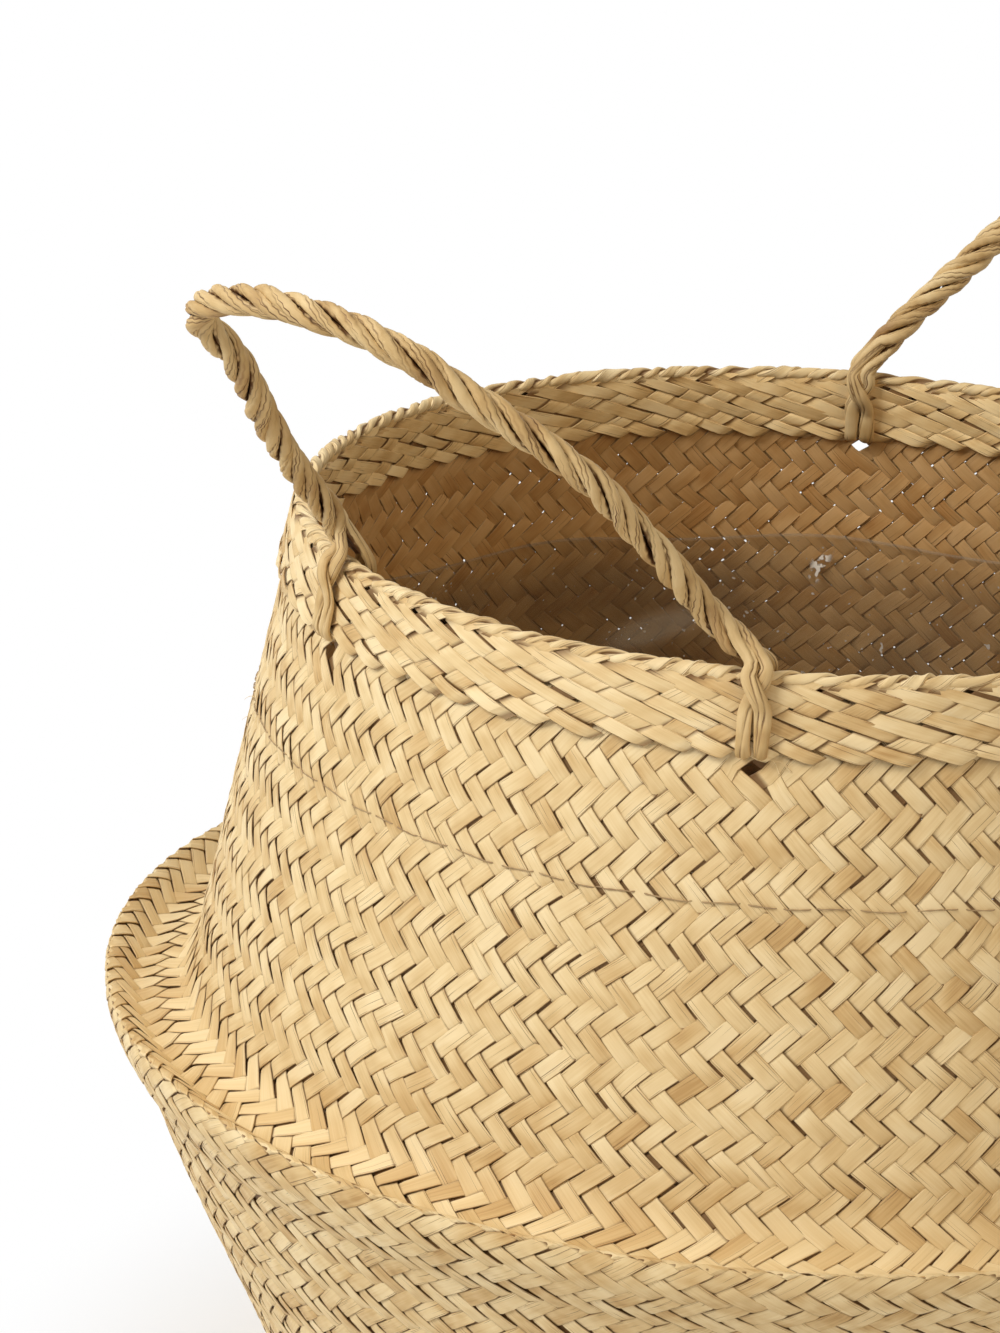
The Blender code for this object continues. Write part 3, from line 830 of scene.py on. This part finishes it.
def band_strip(name, side, slope, other_slope, width, sign, rows, seed, start, thumb):
    """One family of the rim band's strips, on the outside (side 1) or the inside (side -1). slope is how
    many strips sideways each crossing goes. Crossings are counted down from the rim."""
    count = BAND_STRANDS
    ring = MOUTH_RADIUS + NECK_SLOPE * BAND_TOP
    step = 2 * pi / count * ring
    length = np.hypot(slope * step, BAND_STEP)
    across_u, across_v = BAND_STEP / length, -slope * step / length
    turn = 1 / (slope - other_slope)
    rng = np.random.RandomState(seed)
    number = np.arange(count)[:, None, None] + start
    q = np.broadcast_to(rows[None, :, None], (count, len(rows), 1))
    squared = 1
    if thumb:
        q = q + THUMB_UNEVEN * rng.uniform(-1, 1, (count, 1, 1)) * smooth_step(THUMB_START, 6.6, q)
        squared = 1 - THUMB_NARROWING * smooth_step(THUMB_END - 0.45, THUMB_END + 0.1, q)
    x = SECTION_ACROSS[None, None]
    share = 1 + drift(seed + 2, count, rows, BAND_WIDTH_DRIFT)[..., None]
    share = share + BAND_WIDTH_SPREAD * rng.uniform(-1, 1, (count, 1, 1))
    offset = x * width / 2 * share * squared + drift(seed + 1, count, rows, BAND_SIDE_DRIFT)[..., None]
    down = q - turn * offset * (across_u / step - other_slope * across_v / BAND_STEP)
    u = step * (number + slope * down) + offset * across_u
    v = BAND_TOP + BAND_STEP * down + offset * across_v
    # Over for two crossings and under for one, or where sign is -1 the reverse
    over = sign * np.tanh(3 * (np.cos(2 * pi * (q - 1) / 3) + 0.5))
    height = BAND_LIFT + BAND_WAVE * over + SECTION_UP * STRAND_THICKNESS * BAND_PLUMPNESS
    height = height + drift(seed + 3, count, rows, BAND_TILT_DRIFT)[..., None] * x
    height = height - END_SINK * (1 - smooth_step(BAND_END, BAND_END + END_REACH, v))
    v = np.where(v < BAND_END, BAND_END + END_SQUEEZE * (v - BAND_END), v)
    looks = strand_looks(rng.uniform(0, 1, count), over, 0.5)
    if thumb:
        height = height + THUMB_LIFT * smooth_step(THUMB_START, 6.7, q)
        height = height - THUMB_DIP * smooth_step(6.95, THUMB_END, q) ** 2
        # Painted shade where the thumb curls in under the next strips
        looks["depth"] = looks["depth"] - THUMB_SHADE * smooth_step(7.1, THUMB_END, q)
    points = neck_places(u / ring + BAND_SWAY * np.sin(9 * u / ring + 2), v, side * height)
    run = np.broadcast_to(rows * length + 0.1, (count, len(rows)))
    # The inner strips take the lighter copy of the sedge: painted light
    made = tubes(name, points, offset, run, looks, SEDGE if side > 0 else SEDGE_INSIDE_PAINTED_LIGHT, "collar")
    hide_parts("rim_band")


def make_band():
    rows = np.concatenate([BAND_FLATS] + [BAND_DIVES + k for k in BAND_EDGES])
    long_rows, short_rows = np.sort(np.concatenate([rows, THUMB_ROWS, [THUMB_END]])), np.sort(rows)
    for side, suffix in ((1, "outer"), (-1, "inner")):
        long_slope, short_slope = side * (0.5 + BAND_SHEAR), -side * (0.5 - BAND_SHEAR)
        band_strip(f"band_{suffix}_long", side, long_slope, short_slope, LONG_WIDTH, 1, long_rows,
                   310 + 10 * side, 0.0, True)
        band_strip(f"band_{suffix}_short", side, short_slope, long_slope, SHORT_WIDTH, -1, short_rows,
                   350 + 10 * side, 0.5, False)


def make_edge():
    """Two flat strands twisted together on the band, all round."""
    angle = all_round(EDGE_TURNS * EDGE_STEPS)
    section = all_round(EDGE_SIDES)
    radius = neck_radius(ROLL_MIDDLE) - WALL / 2
    rings, across = [], []
    for k in range(2):
        phase = add_waves(EDGE_TURNS * angle + pi * k, angle, (*EDGE_WAVES, (0.4, 41, 3 * k)))
        r = radius + EDGE_OUT * np.cos(phase)
        z = ROLL_MIDDLE + EDGE_UP * np.sin(phase)
        lean = phase[:, None] + EDGE_LEAN
        wide = add_waves(EDGE_WIDE, angle, ((0.4, 13, k), (0.35, 31, 0)))[:, None] * MM * np.cos(section)
        thin = EDGE_THIN * np.sin(section)
        rr = r[:, None] + wide * np.sin(lean) + thin * np.cos(lean)
        zz = z[:, None] - wide * np.cos(lean) + thin * np.sin(lean)
        rings.append(polar(rr, angle[:, None], zz))
        across.append(wide)
    rings = np.array(rings)
    away = np.hypot(np.hypot(rings[..., 0], rings[..., 1]) - radius, rings[..., 2] - ROLL_MIDDLE)
    # Painted shade where the two strands meet in the twist's middle and along their edges
    looks = {
        "tone": np.array([0.2, 0.5])[:, None, None], "depth": 0.62 * smooth_step(0.8 * MM, 1.9 * MM, away),
        "edge": 0.97 * np.abs(np.cos(section)),
    }
    along = np.broadcast_to(angle * radius, (2, len(angle)))
    made = tubes("edge_twist", rings, np.array(across), along, looks, SEDGE, "collar", closed=True, sharp=45)
    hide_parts("rim_edge_roll")


# The rope handles

def catmull(knots, per):
    """A smooth curve through the knots, with a number of points from each to the next."""
    knots = np.asarray(knots, float)
    knots = np.concatenate([[2 * knots[0] - knots[1]], knots, [2 * knots[-1] - knots[-2]]])
    t = np.linspace(0, 1, per, endpoint=False)[:, None]
    out = []
    for a, b, c, d in zip(knots, knots[1:], knots[2:], knots[3:]):
        out.append(0.5 * (2 * b + (c - a) * t + (2 * a - 5 * b + 4 * c - d) * t ** 2
                          + (3 * b - a - 3 * c + d) * t ** 3))
    out.append(knots[-2][None])
    return np.concatenate(out)


def resample(points, count):
    """Points evenly along a line, and their distances along it."""
    lengths = np.concatenate([[0], np.cumsum(norm(np.diff(points, axis=0), axis=1))])
    want = np.linspace(0, lengths[-1], count)
    return np.stack([np.interp(want, lengths, points[:, k]) for k in range(3)], -1), want


def unit(vectors):
    return vectors / norm(vectors, axis=-1)[..., None]


def bow_centre(side, tilt, leg_shares, feet):
    """The rope's middle line in the world, from the rim's top over one foot to that over the other."""
    shares = np.array(BOW_SHARES + leg_shares)
    half_span = MIDDLE_RADIUS * sin(FOOT_ANGLE)
    flat = np.stack([shares[:, 0] * half_span, np.zeros(len(shares)), shares[:, 1] * BOW_RISE], -1)
    turn = Matrix.Rotation(side * pi / 2, 3, "Z") @ Matrix.Rotation(tilt, 3, "X")
    world = flat @ np.array(turn).T + np.array([side * MIDDLE_RADIUS * cos(FOOT_ANGLE), 0, HINGE_HEIGHT])
    ends = [neck_places(np.array([angle]), -1.5 * MM, 0.0) for angle in feet]
    return catmull(np.concatenate([ends[0], world, ends[1]]), 16)


def foot_path(angle, across, out):
    """A ply's way from the rope's end down the band and into the hole. The two plies of a pair cross once
    more on the band."""
    y = FOOT_OUT * out
    over = CROSS_LIFT * out if across * out > 0 else 0.0
    local = np.array([(a * across, b * y + c * over, up) for a, b, c, up in FOOT_WAY])
    places = neck_places(np.full(len(local), angle), -local[:, 2], local[:, 1])
    return places + local[:, :1] * np.array([-sin(angle), cos(angle), 0])


def pick_feet(ends, angle):
    """Which of the foot's four places each ply goes to, so that the ways there are shortest together."""
    spots = [(-FOOT_SPREAD, 1), (FOOT_SPREAD, 1), (FOOT_SPREAD, -1), (-FOOT_SPREAD, -1)]
    ways = [foot_path(angle, *spot) for spot in spots]
    orders = [[ways[(shift + step * k) % 4] for k in range(4)] for shift in range(4) for step in (1, -1)]
    return min(orders, key=lambda order: sum(norm(e - w[0]) for e, w in zip(ends, order)))


def kinked(points, bend):
    """How much thicker the rope is at its kink."""
    return 1 + KINK_SWELL * np.exp(-(norm(points - bend, axis=1) / KINK_REACH) ** 2)


def nearest(line, centre, stride):
    """The nearest of every few points of the rope's middle line, at each place of a ply."""
    few = centre[::stride]
    gaps = norm(line[:, None] - few[None], axis=-1)
    return few[gaps.argmin(1)]


def make_handle(name, side, tilt, leg_shares, bulk, feet, seed):
    centre, run = resample(bow_centre(side, tilt, leg_shares, feet), BOW_POINTS)
    ways = unit(np.gradient(centre, axis=0))
    flat_normal = unit(np.cross(centre[PLANE_POINT] - centre[0], centre[-PLANE_POINT] - centre[0]))
    up = np.cross(ways, flat_normal)
    bend = centre[int(KINK_PLACE * len(centre))]
    kink = bulk * kinked(centre, bend)
    paths = []
    for k in range(PLIES):
        phase = 2 * pi * run / ROPE_LAY + pi / 2 * k + drift(seed + k, 1, run, PHASE_DRIFT)[0]
        orbit = PLY_ORBIT * kink * (1 + drift(seed + 10 + k, 1, run, ORBIT_DRIFT)[0])
        out = np.cos(phase)[:, None] * flat_normal + np.sin(phase)[:, None] * up
        paths.append(centre + orbit[:, None] * out)
    starts = pick_feet([path[FOOT_FROM] for path in paths], feet[0])
    finishes = pick_feet([path[-FOOT_FROM - 1] for path in paths], feet[1])
    rings, along, depths, edges = [], [], [], []
    section = all_round(PLY_SIDES)
    for k, path in enumerate(paths):
        whole = np.concatenate([starts[k][::-1], path[FOOT_FROM:-FOOT_FROM:4], finishes[k]])
        line, distance = resample(catmull(whole, 6), PLY_POINTS)
        radial, near_foot = rope_outward(line, distance, centre, feet)
        swell = bulk * kinked(line, bend)
        points, edge = ply_rings(line, distance, radial, section, swell, near_foot, seed + 20 + k)
        rings.append(points)
        edges.append(edge)
        along.append(distance)
        depths.append(ply_depth(points, line, centre, near_foot))
    looks = {
        "tone": np.random.RandomState(seed).uniform(0.1, 0.9, PLIES)[:, None, None],
        "depth": np.array(depths), "edge": np.array(edges),
    }
    across = PLY_WIDE * 1.2 * section / 2
    return tubes(name, np.array(rings), across, np.array(along), looks, ROPE, sharp=50)


def rope_outward(line, distance, centre, feet):
    """The way out of the rope at each place of a ply, and how far the place belongs to a foot."""
    radial = unit(line - nearest(line, centre, 3) + 1e-6)
    from_start, from_end = distance, distance[-1] - distance
    foot = 1 - smooth_step(FOOT_NEAR, FOOT_FAR, np.minimum(from_start, from_end))
    out = np.zeros_like(line)
    for angle, part in zip(feet, (from_start < from_end, from_start >= from_end)):
        out[part] = cos(angle), sin(angle), 0
    out *= np.sign(np.einsum("ij,ij->i", out, radial) + 1e-9)[:, None]
    return unit(radial * (1 - foot)[:, None] + out * foot[:, None]), foot


def ply_rings(line, distance, radial, section, swell, near_foot, seed):
    """A bundle of folded leaves: an oval section, wide along the rope's face, with sharp folds that wind, and
    how near each point lies to a fold, for painted shade in it.
    """
    ways = unit(np.gradient(line, axis=0))
    out = unit(radial - np.einsum("ij,ij->i", radial, ways)[:, None] * ways)
    wide = np.cross(ways, out)
    for i in range(1, len(line)):
        if wide[i] @ wide[i - 1] < 0:
            wide[i:] *= -1
            out[i:] *= -1
    rng = np.random.RandomState(seed)
    spin = section[None] + PLY_SPIN * distance[:, None] / ROPE_LAY + rng.uniform(0, 6)
    shape = np.ones_like(spin)
    edge = np.zeros_like(spin)
    for _ in range(PLY_FOLDS):
        at = rng.uniform(0, 2 * pi) + drift(seed + 9, 1, distance, FOLD_DRIFT)[0][:, None]
        turn = (spin - at + pi) % (2 * pi) - pi
        shape = shape - FOLD_DEPTH * np.exp(-(turn / FOLD_WIDTH) ** 2)
        # Painted shade along each fold
        edge = np.maximum(edge, np.exp(-(turn / FOLD_SHADE_WIDTH) ** 2))
    swell = swell * (1 + drift(seed + 5, 1, distance, SWELL_DRIFT)[0])
    ends = np.clip(np.minimum(distance, distance[-1] - distance) / TIP_LENGTH, TIP_SHARE, 1)
    scale = shape * (swell * ends)[:, None]
    width = PLY_WIDE + (FOOT_WIDE - PLY_WIDE) * near_foot
    thick = PLY_THIN + (FOOT_THIN - PLY_THIN) * near_foot
    lean = (PLY_LEAN * (1 - near_foot))[:, None]
    wide, out = wide * np.cos(lean) + out * np.sin(lean), out * np.cos(lean) - wide * np.sin(lean)
    points = line[:, None] + (scale * width[:, None] * np.cos(section))[..., None] * wide[:, None]
    return points + (scale * thick[:, None] * np.sin(section))[..., None] * out[:, None], edge


def ply_depth(rings, line, centre, near_foot):
    """How far out of the rope each point lies, for painted shade: the valleys between plies are low and
    darkened.
    """
    away = norm(rings - nearest(line, centre, 4)[:, None], axis=-1)
    rope = np.clip((away - VALLEY) / VALLEY_RISE, 0, 1)
    return rope * (1 - near_foot)[:, None] + FOOT_SHADE * near_foot[:, None]


def make_handles():
    for name, side, tilt, leg_shares, bulk, seed in (
        ("left", -1, LEFT_TILT, LEFT_LEG_SHARES, 0.95, 500),
        ("right", 1, RIGHT_TILT, RIGHT_LEG_SHARES, 1.06, 600),
    ):
        made = make_handle(name + "_rope", side, tilt, leg_shares, bulk, FEET[name], seed)
        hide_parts(name + "_handle", name + "_foot_front", name + "_foot_back")
        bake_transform(made)


# The film and its stitches

def make_film():
    """The clear bag: creased film that hangs inside the neck and lies over the bowl."""
    line = [*FILM_LINE, *((neck_radius(z) - FILM_INSET, z) for z in FILM_NECK_HEIGHTS)]
    flat, _ = resample(catmull([(r, 0, z) for r, z in line], 10), FILM_ROWS)
    angle = all_round(FILM_SIDES)
    r, z = [np.broadcast_to(flat[:, k][:, None], (FILM_ROWS, FILM_SIDES)) for k in (0, 2)]
    r = r - film_creases(angle, z)
    z = z + HEM_WAVE * np.sin(11 * angle + 2) * smooth_step(HEM_HEIGHT - 0.02, HEM_HEIGHT, z)
    outer = polar(r, angle, z)
    inner = polar(np.maximum(r - FILM_THICKNESS, FILM_MIDDLE), angle, z + FILM_RISE * (z < FILM_FLAT))
    rings = np.swapaxes(np.concatenate([outer, inner[::-1]])[None], 1, 2)
    across = np.linspace(0, 0.5, 2 * FILM_ROWS)
    along = np.linspace(0, 1, FILM_SIDES)[None]
    near_hem = np.clip((flat[:, 2] - HEM_HEIGHT) / HEM_FADE + 1, 0, 1)
    looks = {"tone": 0.5, "edge": np.concatenate([near_hem, near_hem[::-1]])}
    made = tubes("film_liner", rings, across, along, looks, FILM, closed=True, sharp=60)
    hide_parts("liner")
    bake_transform(made)


def film_creases(angle, z):
    """How far in the film's folds lie, less near the hem, where the thread holds it."""
    fold = np.abs(np.sin(9 * angle + 14 * z + 1.5 * np.sin(3 * angle))) ** 0.7
    small = np.abs(np.sin(23 * angle - 41 * z + 2 * np.sin(5 * angle + 20 * z)))
    level = np.clip((z - FILM_FLAT) / 0.05, 0, 1)
    hold = 1 - HEM_HOLD * np.clip((z - HEM_HEIGHT + 0.03) / 0.03, 0, 1)
    return level * hold * (CREASE_DEPTH * (1 - fold) + SMALL_CREASE_DEPTH * (1 - small))


def make_stitches():
    """A thin running thread that shows as long stitches and dips into the wall between them."""
    angle = all_round(STITCHES * STITCH_STEPS)
    section = all_round(THREAD_SIDES)
    wave = np.cos(add_waves(STITCHES * angle, angle, ((1.5, 17, 0),)))
    wave = np.tanh(STITCH_SQUARENESS * (wave + STITCH_LENGTH))
    z = add_waves(STITCH_HEIGHT, angle, STITCH_WAVES)
    r = neck_radius(z) - WALL / 2 + STRAND_WAVE + STITCH_LIFT + STITCH_DIVE * (wave - 0.9)
    thick = THREAD_RADIUS * add_waves(1, angle, ((0.25, 311, 0),))
    rr = r[:, None] + thick[:, None] * np.cos(section)
    zz = z[:, None] + thick[:, None] * np.sin(section)
    along = (angle * THROAT_RADIUS)[None]
    made = tubes("stitch_thread", polar(rr, angle[:, None], zz)[None], section * 0.3 * MM, along,
                 {"tone": 0.5, "depth": 0.8}, THREAD, "collar", closed=True, sharp=60)
    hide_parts("liner_stitch")


def make_hairs():
    """A few stray ends of fibre, each curling up as it leaves the neck."""
    section = all_round(THREAD_SIDES)
    t = np.linspace(0, 1, HAIR_POINTS)
    rings = []
    for degrees, *lengths in HAIRS:
        down, out, along, rise, thick = (length * MM for length in lengths)
        angle = radians(degrees)
        start = neck_places(np.array([angle]), down, HAIR_START)[0]
        outward = np.array([cos(angle), sin(angle), 0])
        sideways = np.array([-outward[1], outward[0], 0])
        end = out * outward + along * sideways + np.array([0, 0, rise])
        curl = HAIR_CURL * norm(end) * np.sin(pi * t * 0.9)[:, None] * np.array([0, 0, 1.0])
        line = start + t[:, None] * end + curl
        ways = unit(np.gradient(line, axis=0))
        first = unit(np.cross(ways, sideways + 0.3 * outward))
        second = np.cross(ways, first)
        wide = (thick * (1 - HAIR_TAPER * t))[:, None, None]
        rings.append(line[:, None] + wide * (np.cos(section)[None, :, None] * first[:, None]
                                             + np.sin(section)[None, :, None] * second[:, None]))
    along = np.broadcast_to(t * 8 * MM, (len(HAIRS), len(t)))
    looks = {"tone": 0.4, "depth": 1.0}
    made = tubes("stray_fibres", np.array(rings), section * 0.2 * MM, along, looks, SEDGE, "collar", sharp=60)
    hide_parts("neck_collar")


# The camera, the floor and the light

def make_camera():
    data = bpy.data.cameras.new("camera")
    data.lens = LENS
    data.sensor_fit = "HORIZONTAL"
    data.sensor_width = SENSOR
    data.clip_start = 0.01
    made = add_object("camera", data)
    made.matrix_world = Matrix.Translation(CAMERA_PLACE)
    for angle, axis in ((CAMERA_TURN, "Z"), (pi / 2 - CAMERA_DROP, "X"), (CAMERA_ROLL, "Z")):
        made.matrix_world = made.matrix_world @ Matrix.Rotation(angle, 4, axis)
    bpy.context.scene.camera = made


def seen_directly(graph):
    """1 for rays straight from the camera, off a glossy surface or through glass."""
    path = graph.add("LightPath", {}).outputs
    seen = graph.plus(path["Is Camera Ray"], path["Is Glossy Ray"])
    return graph.math("ADD", seen, path["Is Transmission Ray"], use_clamp=True)


def make_floor():
    """A pale floor that keeps its shadow near the basket and is plain white beyond."""
    mesh = bpy.data.meshes.new("floor")
    corners = [(x * FLOOR_SIZE, y * FLOOR_SIZE, 0) for x, y in ((-1, -1), (1, -1), (1, 1), (-1, 1))]
    mesh.from_pydata(corners, [], [(0, 1, 2, 3)])
    made_of = bpy.data.materials.new("floor")
    graph = Graph(made_of)
    shader = graph.nodes["Principled BSDF"]
    graph.put(shader, {"Base Color": FLOOR_COLOUR, "Roughness": 0.9, "Specular IOR Level": 0})
    glow = graph.add("Emission", {"Color": WHITE})
    away = graph.length(graph.add("TexCoord", {}).outputs["Object"])
    share = graph.times(seen_directly(graph), graph.soft(away, SHADOW_NEAR, SHADOW_FAR, 0.25, 1))
    mix = graph.add("MixShader", {0: share, 1: shader.outputs[0], 2: glow.outputs[0]})
    graph.put(graph.nodes["Material Output"], {0: mix.outputs[0]})
    mesh.materials.append(made_of)
    add_object("floor", mesh)


def make_light():
    """Soft square lamps aimed at the basket, and an even world that looks white."""
    for name, turn, height, distance, size, power, colour in LAMPS:
        data = bpy.data.lights.new(name, "AREA")
        data.size, data.energy, data.color = size, power, colour
        flat, rise = CAMERA_TURN + radians(turn), radians(height)
        direction = Vector((sin(flat) * cos(rise), -cos(flat) * cos(rise), sin(rise)))
        made = add_object(name, data)
        made.location = LAMP_AIM + direction * distance
        made.rotation_euler = direction.to_track_quat("Z", "Y").to_euler()
    world = bpy.data.worlds.new("studio")
    bpy.context.scene.world = world
    graph = Graph(world)
    strength = graph.plus(graph.times(seen_directly(graph), 1 - WORLD_LIGHT), WORLD_LIGHT)
    graph.put(graph.nodes["Background"], {"Color": WHITE, "Strength": strength})
    bpy.context.scene.view_settings.view_transform = "Standard"


make_camera()
make_floor()
make_light()
make_walls()
make_base()
make_band()
make_edge()
make_handles()
make_film()
make_stitches()
make_hairs()
